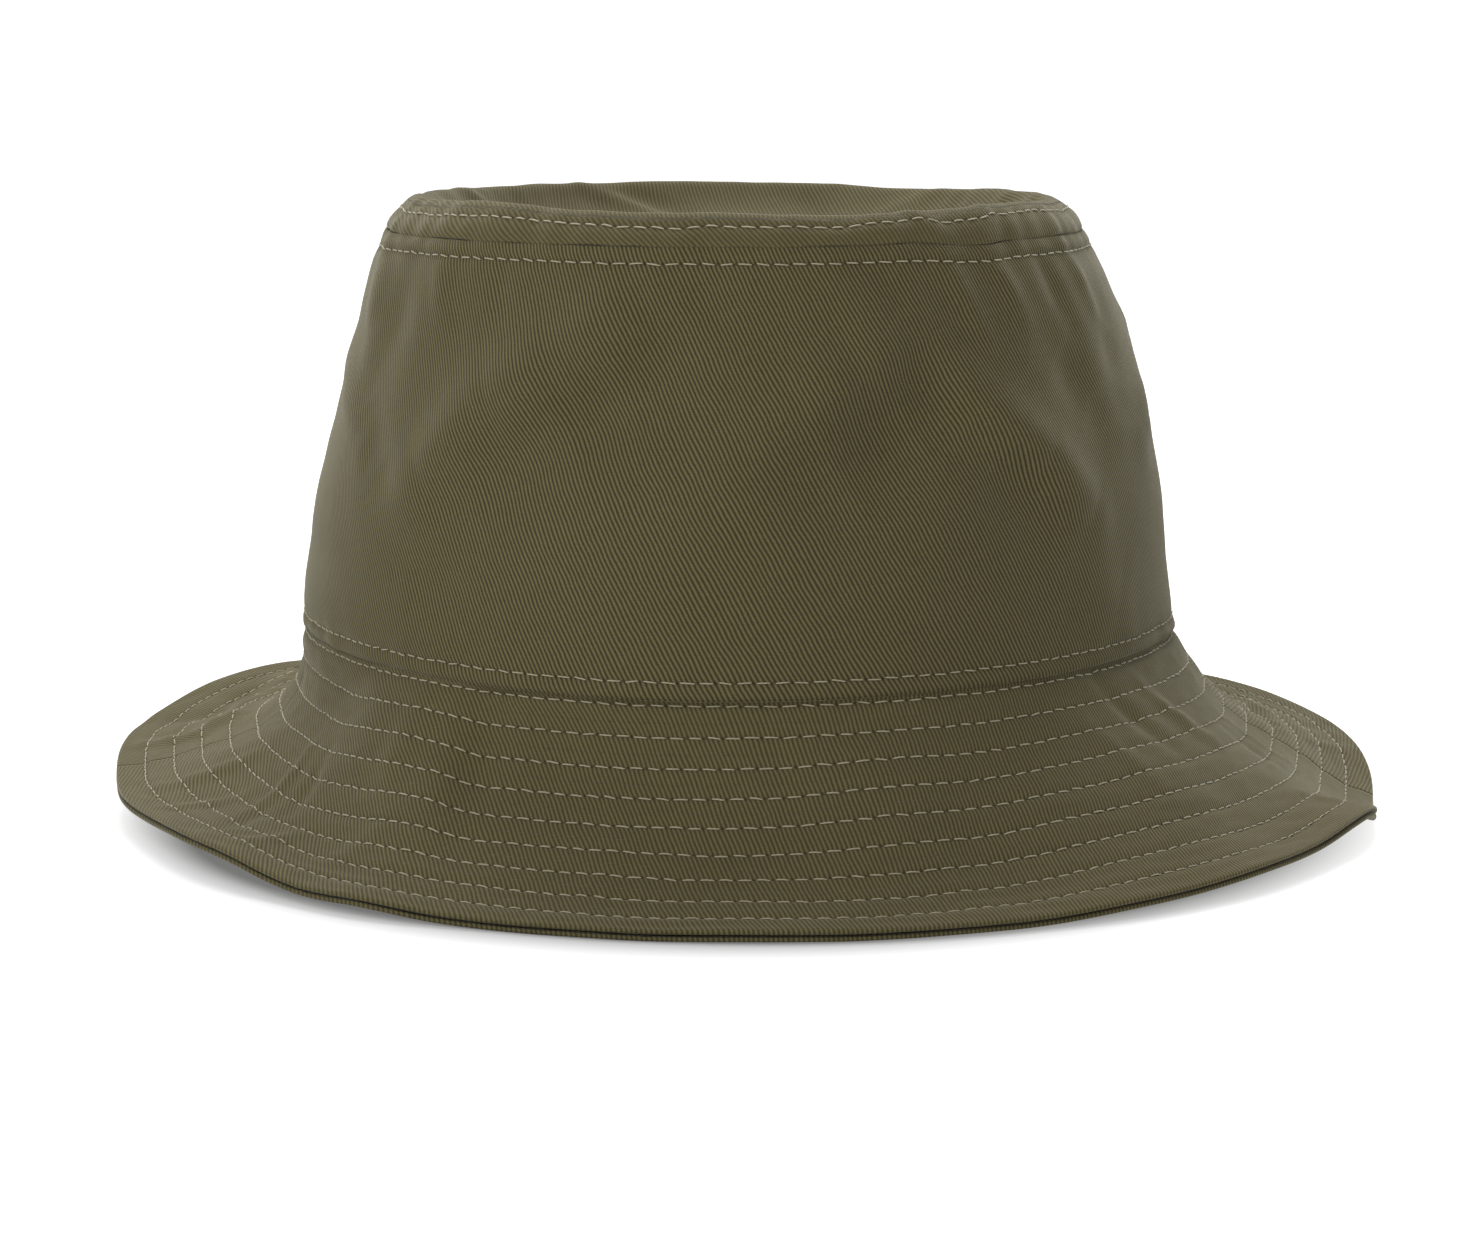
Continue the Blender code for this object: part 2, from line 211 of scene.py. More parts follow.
# One soft fold or dent per line: ends (t, z), width across (mm), height (mm, outwards).
WALL_FOLDS = [
    (-13, 117, -24, 103, 10, 3.0), (-24, 103, -36, 94, 10, 3.6), (-36, 94, -47, 77, 9, 2.6),
    (-5, 112, -13.5, 96, 9, -2.0), (-13.5, 96, -23.5, 88, 9, -2.4), (-23.5, 88, -37, 75, 9, -1.7),
    (23, 111, 16, 102, 8, 2.2), (16, 102, 6.5, 94, 9, 3.6), (6.5, 94, -5, 76, 9, 2.4),
    (11, 81, 24, 93, 11, -4.6), (24, 93, 31, 106, 9, -2.4),
    (26.5, 107, 32.5, 95, 7, 2.3), (32.5, 95, 44.5, 82, 7, 3.4), (44.5, 82, 53, 69, 7.5, 2.2),
    (34, 84, 40, 71, 7.5, -2.2), (51, 105, 57, 90, 8, -2.0),
    (-74, 121, -70, 104, 6, 1.1), (-60, 118, -62, 100, 7, -1.0), (-84, 98, -64, 84, 5, 1.2), (-66, 92, -56, 78, 6, -0.9),
    (96, 108, 87, 103, 4, 0.9), (82, 98, 74, 82, 6, 1.0), (70, 108, 66, 94, 6, -0.8),
    (31, 124, 36.5, 106, 3.2, 1.2), (19, 122, 25, 111, 3.0, -0.8), (40.5, 124, 45, 111, 3.2, 1.0), (52, 124, 57, 108, 3.6, -1.0),
    (63, 123, 66, 112, 3.5, 0.9), (-52, 123, -48, 110, 3.5, 0.7), (-38, 123, -36, 113, 3.0, -0.6),
    (-20, 64, -2, 58, 10, 0.8), (10, 60, 34, 66, 10, -0.7), (-48, 62, -34, 54, 8, -0.8), (46, 60, 60, 50, 8, 0.8),
]


def wall_relief(t, z):
    """Outward relief of the wall's cloth: t is (n, 1), z is (n, m)."""
    n, m = z.shape
    flat_t = t[:, 0]
    zz = np.linspace(36, 130, 64)
    soft = 0.55 * lattice(flat_t, zz, 11, 5, 3, (36, 130)) + 0.16 * lattice(flat_t, zz, 34, 9, 4, (36, 130))
    calm = 0.35 + 0.65 * step(70, 110, np.abs(wrap(flat_t)))[:, None]
    base = soft * calm
    out = read_rows(z, 36, 130, base)
    arc = np.radians(wrap(t)) * 88.0
    for t0, z0, t1, z1, width, height in WALL_FOLDS:
        ax, ay, bx, by = math.radians(t0) * 88, z0, math.radians(t1) * 88, z1
        dx, dy = bx - ax, by - ay
        share = np.clip(((arc - ax) * dx + (z - ay) * dy) / (dx * dx + dy * dy + 1e-9), 0, 1)
        away = np.hypot(arc - ax - share * dx, z - ay - share * dy)
        out += height * np.exp(-((away / width) ** 2)) * (0.35 + 0.65 * np.sin(np.pi * np.clip(share, 0.1, 0.9)))
    # Small puckers where the seams draw the cloth in.
    fine_z = np.linspace(36, 130, 48)
    pucker = lattice(flat_t, fine_z, 150, 24, 5, (36, 130))
    near = np.exp(-(((z - SEAM_TOP_Z) / 5.0) ** 2)) * 0.16 + np.exp(-(((z - 40) / 4.5) ** 2)) * 0.10 + 0.012
    return out + near * read_rows(z, 36, 130, pucker)


def wall_dips(t, z):
    """The thread's pull along each row of stitching, and the groove at the top seam."""
    bottom = seam_z(t)
    top = SEAM_TOP_Z + 0 * t
    d = -0.26 * np.exp(-(((z - (top - SIDE_STITCH)) / 0.85) ** 2))
    d -= 0.24 * np.exp(-(((z - (bottom + CROWN_STITCH)) / 0.85) ** 2))
    d += 0.20 * np.exp(-(((z - (top - 1.7)) / 1.3) ** 2)) + 0.22 * np.exp(-(((z - (bottom + 1.7)) / 1.3) ** 2))
    return d


def wall_point(t, z, off=0.0):
    """Outer face of the wall at (t, z); off is a distance inwards (negative) or outwards. Returns points and normals."""
    t = np.asarray(t, float)[:, None]
    z = np.asarray(z, float)
    if z.ndim == 1:
        z = z[None, :]
    z = z + 0 * t

    def at(tt, zz):
        r = wall_radius(tt, zz) + wall_relief(tt, zz) + wall_dips(tt, zz)
        return np.stack([r * sind(tt), -r * cosd(tt), zz + wobble(tt) * np.exp(-(((zz - SEAM_TOP_Z) / 7.0) ** 2))], -1)

    p = at(t, z)
    du = at(t + 0.3, z) - at(t - 0.3, z)
    dv = at(t, z - 0.25) - at(t, z + 0.25)
    normal = unit(np.cross(dv, du))
    off = np.asarray(off, float)
    return p + normal * (off[..., None] if off.ndim else off), normal


# ---------------------------------------------------------------- shape of the top panel

TIP_PROFILE = [  # distance in from the seam, height from the rim
    (-0.05, -5.8), (0.25, -5.0), (0.75, -4.0), (1.35, -2.95), (2.15, -1.9), (3.0, -1.1), (4.0, -0.45), (5.2, -0.05), (6.2, -0.12), (7.3, -0.75),
    (8.6, -1.9), (10.2, -3.3), (12.4, -4.9), (15.5, -6.6), (20.0, -8.0), (28.0, -9.0), (42.0, -9.5), (77.0, -9.7),
]


def tip_lengths():
    d = np.array(TIP_PROFILE)
    return np.concatenate([[0], np.cumsum(np.hypot(*np.diff(d, axis=0).T))])


TIP_ARC = tip_lengths()


def tip_point(t, a, off=0.0):
    """Upper face of the top panel. a is the arc length in from the seam, (m,) or (n, m)."""
    t = np.asarray(t, float)[:, None]
    a = np.asarray(a, float)
    if a.ndim == 1:
        a = a[None, :]
    a = a + 0 * t
    prof = np.array(TIP_PROFILE)
    total = TIP_ARC[-1]
    # A smooth version of the profile.
    fine = np.linspace(0, total, 500)
    bas = natural(TIP_ARC, fine)
    dr = bas @ prof[:, 0]
    dz = bas @ prof[:, 1]

    def at(tt, aa):
        rim_z = (periodic(RIM_T, tt[:, 0]) @ np.array(RIM_Z))[:, None]
        r_seam = wall_radius(tt, SEAM_TOP_Z + 0 * tt) + wall_relief(tt, SEAM_TOP_Z + 0 * tt)
        share = np.clip(aa / total, 0, 1)
        inward = np.interp(aa, fine, dr) + 1.3 * sind(tt) ** 2 * step(0.5, 6.5, aa) * (1 - step(10, 26, aa))
        # Past the shoulder the panel runs on to the middle.
        inward = np.where(inward > 20, 20 + (inward - 20) * (r_seam - 20) / (77.0 - 20), inward)
        r = np.maximum(r_seam - inward, 0.0)
        height = np.interp(aa, fine, dz)
        lift = rim_z - (SEAM_TOP_Z + 5.8)
        z = SEAM_TOP_Z + 5.8 + height + lift * step(0.0, 5.0, aa) * (1 - 0.85 * step(8, 26, aa))
        z = z + tip_relief(tt, aa) + wobble(tt) * np.exp(-((aa / 6.0) ** 2))
        z = z - 0.24 * np.exp(-(((aa - TIP_STITCH) / 0.8) ** 2)) * 0.5
        r = r - 0.24 * np.exp(-(((aa - TIP_STITCH) / 0.8) ** 2)) * 0.5 + 0.15 * np.exp(-(((aa - 2.0) / 1.3) ** 2))
        return np.stack([r * sind(tt), -r * cosd(tt), z], -1)

    p = at(t, a)
    du = at(t + 0.4, a) - at(t - 0.4, a)
    dv = at(t, np.clip(a - 0.2, 0, None)) - at(t, a + 0.2)
    normal = unit(np.cross(dv, du))
    flat = np.linalg.norm(np.cross(dv, du), axis=-1, keepdims=True) < 1e-6
    normal = np.where(flat, np.array([0.0, 0.0, 1.0]), normal)
    off = np.asarray(off, float)
    return p + normal * (off[..., None] if off.ndim else off), normal


def tip_relief(t, a):
    n = t.shape[0]
    flat_t = t[:, 0]
    aa = np.linspace(0, 90, 60)
    soft = 0.5 * lattice(flat_t, aa, 9, 6, 11, (0, 90)) + 0.22 * lattice(flat_t, aa, 26, 12, 12, (0, 90))
    fine = 0.10 * lattice(flat_t, aa, 120, 40, 13, (0, 90))
    edge = step(3.0, 12.0, a) * (1 - step(66, 80, a))
    folds = np.zeros(a.shape)
    for t0, a0, t1, a1, width, height in TIP_FOLDS:
        dx, dy = math.radians(t1 - t0) * 66, a1 - a0
        px, py = np.radians(wrap(t - t0)) * 66, a - a0
        share = np.clip((px * dx + py * dy) / (dx * dx + dy * dy), 0, 1)
        away = np.hypot(px - share * dx, py - share * dy)
        folds += height * np.exp(-((away / width) ** 2)) * (0.3 + 0.7 * np.sin(np.pi * np.clip(share, 0.1, 0.9)))
    return folds + read_rows(a, 0, 90, soft) * edge + read_rows(a, 0, 90, fine) * (1 - step(5, 16, a))


# ---------------------------------------------------------------- shape of the brim

_slope = np.array(BRIM_SLOPE, float).T
_back = np.array(BACK_SLOPE, float)
KNOTS_T = [-180, -156] + BRIM_T + [156]
KNOTS_SLOPE = np.concatenate([[_back], [0.42 * _slope[0] + 0.58 * _back], _slope, [0.42 * _slope[-1] + 0.58 * _back]])
FINE_S = np.linspace(0, BRIM_LENGTH, 240)
_basis_s = natural(BRIM_S, FINE_S / BRIM_LENGTH)


def brim_start(t):
    a, b = 93.91, 97.4
    r0 = a * b / np.sqrt((b * sind(t)) ** 2 + (a * cosd(t)) ** 2)
    return r0 + seam_extra(t) + 0.52 * sind(3 * t)


def brim_curve(t):
    """(r, z) of the brim's upper face at FINE_S, for each angle."""
    slope = np.radians(periodic(KNOTS_T, t) @ KNOTS_SLOPE @ _basis_s.T)
    ds = FINE_S[1]
    c, s = np.cos(slope), np.sin(slope)
    r = np.concatenate([np.zeros((len(t), 1)), np.cumsum((c[:, 1:] + c[:, :-1]) / 2, 1) * ds], 1)
    z = np.concatenate([np.zeros((len(t), 1)), np.cumsum((s[:, 1:] + s[:, :-1]) / 2, 1) * ds], 1)
    r0 = brim_start(t)
    hidden = wall_radius(t, seam_z(t)) - 0.75
    shift = (r0 - hidden)[:, None] * np.exp(-FINE_S[None, :] / 2.2)
    return r0[:, None] + r - shift, seam_z(t)[:, None] - z


BRIM_FOLDS = [
    (-132, 48, -118, 38, 3.6, 1.4), (-118, 38, -103, 34, 3.4, 1.7), (-103, 34, -97, 41, 3.2, 1.6), (-97, 41, -98, 53, 3.2, 1.1),
    (-125, 43, -113, 42, 5.0, -1.2), (-112, 42, -107, 54, 5.0, -1.2),
    (-63, 22, -60, 39, 2.4, 0.9), (-55.5, 48, -59, 39, 2.6, -0.9), (-66, 40, -69, 53, 2.8, 0.8), (-48, 41, -50, 53, 2.8, 0.7),
    (-57, 22, -54, 36, 3.0, -0.8), (-75, 30, -78, 50, 3.2, 0.7), (-31, 3, -28, 33, 7.0, -2.4), (-42, 6, -40, 27, 5.5, 1.0), (-37, 33, -41, 54, 4.0, 0.5),
    (122, 41, 98.5, 35, 2.6, 1.1), (119, 46, 103, 27, 2.6, 0.9), (120, 43, 101, 31, 2.2, -0.8), (112, 20, 100, 24, 2.6, 0.8),
    (98, 44, 102, 55, 2.2, 0.6), (104, 44, 109, 55, 2.4, -0.6), (77, 22, 82, 37, 2.8, 0.8), (72, 24, 76, 36, 2.8, -0.6), (70, 45, 73, 55, 2.4, 0.5),
    (60, 8, 64, 24, 3.5, 0.9), (50, 5, 54, 22, 3.5, -0.8), (43, 14, 46, 30, 3.5, 0.6), (18, 38, 20, 54, 3.5, 0.4), (-12, 36, -14, 53, 3.5, 0.4), (4, 8, 5, 24, 4.0, -0.4),
]

# The same for the top panel: ends (t, arc in from the seam).
TIP_FOLDS = [
    (-149.5, 10, -164, 23, 2.4, 1.0), (-157, 11, -170, 22, 3.0, -0.6), (-117, 9, -124, 16, 2.2, 0.7), (170, 11, 160, 26, 4.0, -0.6),
    (30, 2, 27, 9, 1.6, 0.5), (35, 1, 33, 6, 1.6, -0.35), (45, 2, 43, 10, 2.0, 0.4), (140, 10, 150, 20, 3.0, 0.6), (85, 10, 76, 20, 3.0, 0.6), (-85, 10, -80, 20, 3.0, 0.5),
]


def brim_relief(t, s):
    """Relief along the normal: t (n,), s (m,)."""
    d = np.zeros((len(t), len(s)))
    for row in ROWS:
        d -= 0.20 * np.exp(-(((s - row) / 0.75) ** 2))[None, :]
    # Each channel between two rows puckers on its own.
    for k in range(10):
        low = ROWS[k - 1] if k else -2.0
        high = ROWS[k] if k < 9 else BRIM_LENGTH
        share = np.clip((s - low) / (high - low), 0, 1)
        inside = np.where((s > low) & (s < high), np.sin(np.pi * share) ** 0.8, 0)
        ripple = lattice(t, share, 130 + 4 * k, 4, 40 + k) * 0.075 + lattice(t, share, 52, 3, 60 + k) * 0.06
        d += inside[None, :] * (0.10 + ripple)
    d += 0.10 * lattice(t, s, 60, 7, 21, (0, BRIM_LENGTH)) * step(0, 10, s)[None, :]
    for t0, s0, t1, s1, width, height in BRIM_FOLDS:
        ax, ay, bx, by = math.radians(t0) * 118, s0, math.radians(t1) * 118, s1
        px, py = (np.radians(wrap(t)) * 118)[:, None], s[None, :]
        dx, dy = bx - ax, by - ay
        share = np.clip(((px - ax) * dx + (py - ay) * dy) / (dx * dx + dy * dy + 1e-9), 0, 1)
        away = np.hypot(px - ax - share * dx, py - ay - share * dy)
        d += height * np.exp(-((away / width) ** 2)) * (0.3 + 0.7 * np.sin(np.pi * np.clip(share, 0.08, 0.92)))
    return d


def brim_point(t, s, off=0.0):
    """Points and normals at angles t (n,) and distances s (m,) from the seam. off (m,) is along the normal from the upper face."""
    t = np.asarray(t, float)
    s = np.asarray(s, float)

    def at(tt, ss):
        r, z = brim_curve(tt)
        wide = np.repeat(ss[None, :], len(tt), 0)
        rr = read_rows(wide, 0, BRIM_LENGTH, r)
        zz = read_rows(wide, 0, BRIM_LENGTH, z)
        below = np.clip(-ss, 0, None)[None, :]
        wall = wall_radius(tt[:, None] + 0 * below, seam_z(tt)[:, None] + below)
        rr = rr + 0.9 * (wide / BRIM_LENGTH) * step(50, 95, np.abs(wrap(tt)))[:, None] * np.where(wrap(tt) > 0, 1.0, 0.7)[:, None]
        rr = np.where(below > 0, wall - 0.75 - 0.25 * np.minimum(below, 1), rr)
        zz = zz + below
        return np.stack([rr * sind(tt)[:, None] + 0.16 * step(0, 6, ss)[None, :], -rr * cosd(tt)[:, None], zz], -1)

    p = at(t, s)
    du = at(t + 0.3, s) - at(t - 0.3, s)
    dv = at(t, s + 0.2) - at(t, s - 0.2)
    normal = unit(np.cross(dv, du))
    off = np.asarray(off, float)
    lift = brim_relief(t, np.clip(s, 0, None)) * step(-1, 1.0, s)[None, :] + (off[None, :] if off.ndim else off)
    return p + normal * lift[..., None], normal


# ---------------------------------------------------------------- mesh builders


def shell(name, outer, inner, uv, seam=None, uv2=None, closed=False, pole=False):
    """A closed cloth sheet from two (n, m, 3) grids in millimetres. uv and seam are (n or n + 1, m, 2) grids."""
    n, m = outer.shape[:2]
    verts = np.concatenate([outer.reshape(-1, 3), inner.reshape(-1, 3)]) * MM
    half = n * m
    spans = n if closed else n - 1
    i = np.arange(spans)[:, None]
    j = np.arange(m - 1)[None, :]
    a = i * m + j
    b = i * m + j + 1
    c = ((i + 1) % n) * m + j + 1
    d = ((i + 1) % n) * m + j
    ua, ub, uc, ud = i * m + j, i * m + j + 1, (i + 1) * m + j + 1, (i + 1) * m + j

    def quads(*parts):
        return np.stack([np.broadcast_to(x, (spans, m - 1)).reshape(-1) for x in parts], 1)

    faces = [quads(a, b, c, d), quads(half + d, half + c, half + b, half + a)]
    uvs = [quads(ua, ub, uc, ud), quads(ud, uc, ub, ua)]
    smooth = [np.ones(len(faces[0]), bool), np.ones(len(faces[1]), bool)]
    ii = np.arange(spans)
    nx = (ii + 1) % n
    ends = [(m - 1, False)] if pole else [(0, True), (m - 1, False)]
    for col, flip in ends:
        o0, o1 = ii * m + col, nx * m + col
        u0, u1 = ii * m + col, (ii + 1) * m + col
        quad = np.stack([o0, o1, half + o1, half + o0], 1)
        uq = np.stack([u0, u1, u1, u0], 1)
        if not flip:
            quad, uq = quad[:, ::-1], uq[:, ::-1]
        faces.append(quad)
        uvs.append(uq)
        smooth.append(np.zeros(len(quad), bool))
    if not closed:
        jj = np.arange(m - 1)
        for row, flip in ((0, False), (n - 1, True)):
            o0, o1 = row * m + jj, row * m + jj + 1
            quad = np.stack([o0, half + o0, half + o1, o1], 1)
            uq = np.stack([o0, o0, o1, o1], 1)
            if flip:
                quad, uq = quad[:, ::-1], uq[:, ::-1]
            faces.append(quad)
            uvs.append(uq)
            smooth.append(np.zeros(len(quad), bool))
    faces = np.concatenate(faces)
    uvs = np.concatenate(uvs)
    smooth = np.concatenate(smooth)
    mesh = bpy.data.meshes.new(name)
    mesh.vertices.add(len(verts))
    mesh.vertices.foreach_set("co", verts.astype(np.float32).ravel())
    mesh.loops.add(faces.size)
    mesh.loops.foreach_set("vertex_index", faces.astype(np.int32).ravel())
    mesh.polygons.add(len(faces))
    mesh.polygons.foreach_set("loop_start", (np.arange(len(faces)) * 4).astype(np.int32))
    mesh.polygons.foreach_set("use_smooth", smooth)
    for label, grid in (("flat", uv), ("seam", seam)):
        if grid is None:
            continue
        layer = mesh.uv_layers.new(name=label)
        layer.data.foreach_set("uv", grid.reshape(-1, 2)[uvs.ravel()].astype(np.float32).ravel())
    mesh.update(calc_edges=True)
    mesh.validate()
    if pole:
        import bmesh

        bm = bmesh.new()
        bm.from_mesh(mesh)
        bmesh.ops.remove_doubles(bm, verts=bm.verts, dist=1e-6)
        bm.to_mesh(mesh)
        bm.free()
    obj = bpy.data.objects.new(name, mesh)
    bpy.context.scene.collection.objects.link(obj)
    return obj


def stitch_row(name, place, count, seed, length=2.95, radius=0.155, phase=0.0, sides=(1.0,), under=None):
    """Thread dashes along a closed row. place(angles) gives points and outward normals, in millimetres.
    The thread dives into the cloth at each end of a dash. under, if given, is the same for the cloth's other face."""
    rng = np.random.default_rng(seed)
    k = 7
    along = np.linspace(-1, 1, k)
    sides_n = 6
    all_v, all_f = [], []
    base = 0
    for which, fn in enumerate([place] + ([under] if under else [])):
        centre = (np.arange(count) + 0.5 + phase + 0.5 * which) / count
        half = length / 2 / STITCH / count * (1 + 0.05 * rng.normal(size=count))
        param = centre[:, None] + along[None, :] * half[:, None]
        t = wrap(-180 + 360 * param.ravel())
        p, normal = fn(t)
        p = p.reshape(count, k, 3)
        normal = normal.reshape(count, k, 3)
        tangent = unit(np.gradient(p, axis=1))
        side = unit(np.cross(tangent, normal))
        tilt = 0.10 * rng.normal(size=(count, 1)) + 0.07
        wander = 0.06 * rng.normal(size=(count, 1))
        height = -0.19 + 0.32 * np.sqrt(np.clip(1 - along**2, 0, 1))[None, :] * (1 + 0.12 * rng.normal(size=(count, 1)))
        centre_p = p + normal * height[..., None] + side * (tilt * along[None, :] + wander)[..., None]
        ring = np.linspace(0, 2 * np.pi, sides_n, endpoint=False)
        rad = radius * (0.62 + 0.38 * np.sqrt(np.clip(1 - along**2, 0, 1)))[None, :, None]
        v = (
            centre_p[:, :, None, :]
            + rad[..., None] * np.cos(ring)[None, None, :, None] * normal[:, :, None, :]
            + rad[..., None] * np.sin(ring)[None, None, :, None] * side[:, :, None, :]
        )
        all_v.append(v.reshape(-1, 3))
        idx = base + np.arange(count * k * sides_n).reshape(count, k, sides_n)
        nxt = np.roll(idx, -1, axis=2)
        quad = np.stack([idx[:, :-1], idx[:, 1:], nxt[:, 1:], nxt[:, :-1]], -1).reshape(-1, 4)
        all_f.append(quad)
        base += count * k * sides_n
    verts = np.concatenate(all_v) * MM
    faces = np.concatenate(all_f)
    mesh = bpy.data.meshes.new(name)
    mesh.vertices.add(len(verts))
    mesh.vertices.foreach_set("co", verts.astype(np.float32).ravel())
    mesh.loops.add(faces.size)
    mesh.loops.foreach_set("vertex_index", faces.astype(np.int32).ravel())
    mesh.polygons.add(len(faces))
    mesh.polygons.foreach_set("loop_start", (np.arange(len(faces)) * 4).astype(np.int32))
    mesh.polygons.foreach_set("use_smooth", np.ones(len(faces), bool))
    mesh.update(calc_edges=True)
    obj = bpy.data.objects.new(name, mesh)
    bpy.context.scene.collection.objects.link(obj)
    return obj


# ---------------------------------------------------------------- materials


class Graph:
    """Short hand for a material's node tree."""

    def __init__(self, name):
        self.material = bpy.data.materials.new(name)
        self.material.use_nodes = True
        self.tree = self.material.node_tree
        self.tree.nodes.clear()
        self.out = self.tree.nodes.new("ShaderNodeOutputMaterial")
        self.shader = self.tree.nodes.new("ShaderNodeBsdfPrincipled")
        self.link(self.shader.outputs[0], self.out.inputs["Surface"])

    def link(self, a, b):
        self.tree.links.new(a, b)

    def put(self, value, socket):
        if isinstance(value, bpy.types.NodeSocket):
            self.link(value, socket)
        else:
            socket.default_value = value

    def math(self, op, a, b=0.0, c=0.0, clamp=False):
        node = self.tree.nodes.new("ShaderNodeMath")
        node.operation = op
        node.use_clamp = clamp
        for value, socket in zip((a, b, c), node.inputs):
            self.put(value, socket)
        return node.outputs[0]

    def add(self, a, b):
        return self.math("ADD", a, b)

    def mul(self, a, b):
        return self.math("MULTIPLY", a, b)

    def uv(self, name):
        node = self.tree.nodes.new("ShaderNodeUVMap")
        node.uv_map = name
        split = self.tree.nodes.new("ShaderNodeSeparateXYZ")
        self.link(node.outputs[0], split.inputs[0])
        return split.outputs[0], split.outputs[1]

    def vector(self, x, y, z=0.0):
        node = self.tree.nodes.new("ShaderNodeCombineXYZ")
        for value, socket in zip((x, y, z), node.inputs):
            self.put(value, socket)
        return node.outputs[0]

    def noise(self, vector, scale, detail=2.0, rough=0.5):
        node = self.tree.nodes.new("ShaderNodeTexNoise")
        self.link(vector, node.inputs["Vector"])
        node.inputs["Scale"].default_value = scale
        node.inputs["Detail"].default_value = detail
        node.inputs["Roughness"].default_value = rough
        return node.outputs[0]

    def mix(self, factor, a, b):
        node = self.tree.nodes.new("ShaderNodeMix")
        node.data_type = "RGBA"
        self.put(factor, node.inputs[0])
        for value, socket in ((a, node.inputs[6]), (b, node.inputs[7])):
            self.put(value if isinstance(value, bpy.types.NodeSocket) else (*value, 1.0), socket)
        return node.outputs[2]

    def scale_colour(self, colour, factor):
        node = self.tree.nodes.new("ShaderNodeVectorMath")
        node.operation = "SCALE"
        self.put(colour, node.inputs[0])
        self.put(factor, node.inputs["Scale"])
        return node.outputs[0]

    def bump(self, height, strength, distance):
        node = self.tree.nodes.new("ShaderNodeBump")
        node.inputs["Strength"].default_value = strength
        node.inputs["Distance"].default_value = distance
        self.link(height, node.inputs["Height"])
        self.link(node.outputs[0], self.shader.inputs["Normal"])

    def set(self, **values):
        for key, value in values.items():
            self.put(value, self.shader.inputs[key.replace("_", " ")])


def colour_of(colour, gain):
    return tuple(c * gain for c in colour)


OLIVE = (0.0830, 0.0707, 0.0300)


def twill(name, colour=OLIVE, holes_and_groove_shade=True, contrast=1.6, sheen=0.30):
    """A 3/1 left-hand cotton twill. The "flat" map is the cloth before it was sewn, in metres, warp along its second
    axis. It can add needle holes, and painted shade along each row of stitching.
    """
    g = Graph(name)
    u, v = g.uv("flat")
    u, v = g.mul(u, 1000.0), g.mul(v, 1000.0)
    place = g.vector(u, v)
    drift = g.noise(place, 0.09, 2.0)
    wale = g.add(g.mul(u, 1 / 0.97), g.mul(v, 1 / 1.9))
    wale = g.add(wale, g.mul(g.math("SUBTRACT", drift, 0.5), 1.3))
    jitter = g.noise(place, 1.6, 1.0)
    wale = g.add(wale, g.mul(g.math("SUBTRACT", jitter, 0.5), 0.16))
    ridge = g.add(g.mul(g.math("SINE", g.mul(wale, 2 * math.pi)), 0.5), 0.5)
    pick = g.add(g.mul(g.math("SINE", g.mul(v, 2 * math.pi / 0.475)), 0.5), 0.5)
    warp = g.add(g.mul(g.math("SINE", g.mul(u, 2 * math.pi / 0.243)), 0.5), 0.5)
    yarn = g.noise(g.vector(g.mul(u, 4.1), g.mul(v, 0.35)), 1.0, 2.0, 0.6)
    slub = g.noise(g.vector(g.mul(u, 0.22), g.mul(v, 2.1)), 1.0, 2.0, 0.6)
    fuzz = g.noise(place, 5.5, 2.0, 0.7)
    cloud = g.noise(place, 0.05, 3.0, 0.6)
    tone = g.add(0.62 * contrast, 0.0)
    # Share of warp float that shows: high on the wale, low in the valley where the pale weft and shadow lie.
    float_ = g.mul(ridge, g.add(g.mul(pick, 0.18), 0.82))
    gain = g.add(g.mul(float_, 0.62 * contrast), 1 - 0.33 * contrast)
    gain = g.mul(gain, g.add(g.mul(yarn, 0.36), 0.82))
    gain = g.mul(gain, g.add(g.mul(slub, 0.16), 0.92))
    gain = g.mul(gain, g.add(g.mul(fuzz, 0.20), 0.90))
    gain = g.mul(gain, g.add(g.mul(cloud, 0.14), 0.93))
    height = g.add(g.mul(float_, 0.10), g.mul(warp, 0.02))
    height = g.add(height, g.mul(yarn, 0.03))
    if holes_and_groove_shade:
        phase, away = g.uv("seam")
        nearest = g.math("ABSOLUTE", g.math("SUBTRACT", g.math("FRACT", g.add(phase, 0.5)), 0.5))
        along = g.mul(nearest, STITCH / 0.42)
        across = g.mul(away, 1 / 0.34)
        far = g.math("SQRT", g.add(g.mul(along, along), g.mul(across, across)))
        hole = g.math("SUBTRACT", 1.25, far, clamp=True)
        # Painted shade: the colour darkens within 0.8 mm of each row of stitching, in the groove where the thread pulls
        # the cloth in.
        groove_shade = g.math("SUBTRACT", 1.0, g.mul(g.math("ABSOLUTE", away), 1 / 0.8), clamp=True)
        gain = g.mul(gain, g.math("SUBTRACT", 1.0, g.mul(hole, 0.48)))
        gain = g.mul(gain, g.math("SUBTRACT", 1.0, g.mul(groove_shade, 0.12)))
        height = g.math("SUBTRACT", height, g.mul(hole, 0.16))
    colour_socket = g.scale_colour(colour, gain)
    g.link(colour_socket, g.shader.inputs["Base Color"])
    g.bump(g.mul(height, 0.001), 0.75, 1.0)
    g.set(Roughness=0.9, Specular_IOR_Level=0.25, Sheen_Weight=sheen, Sheen_Roughness=0.30, Sheen_Tint=(0.86, 0.83, 0.70, 1.0))
    return g.material


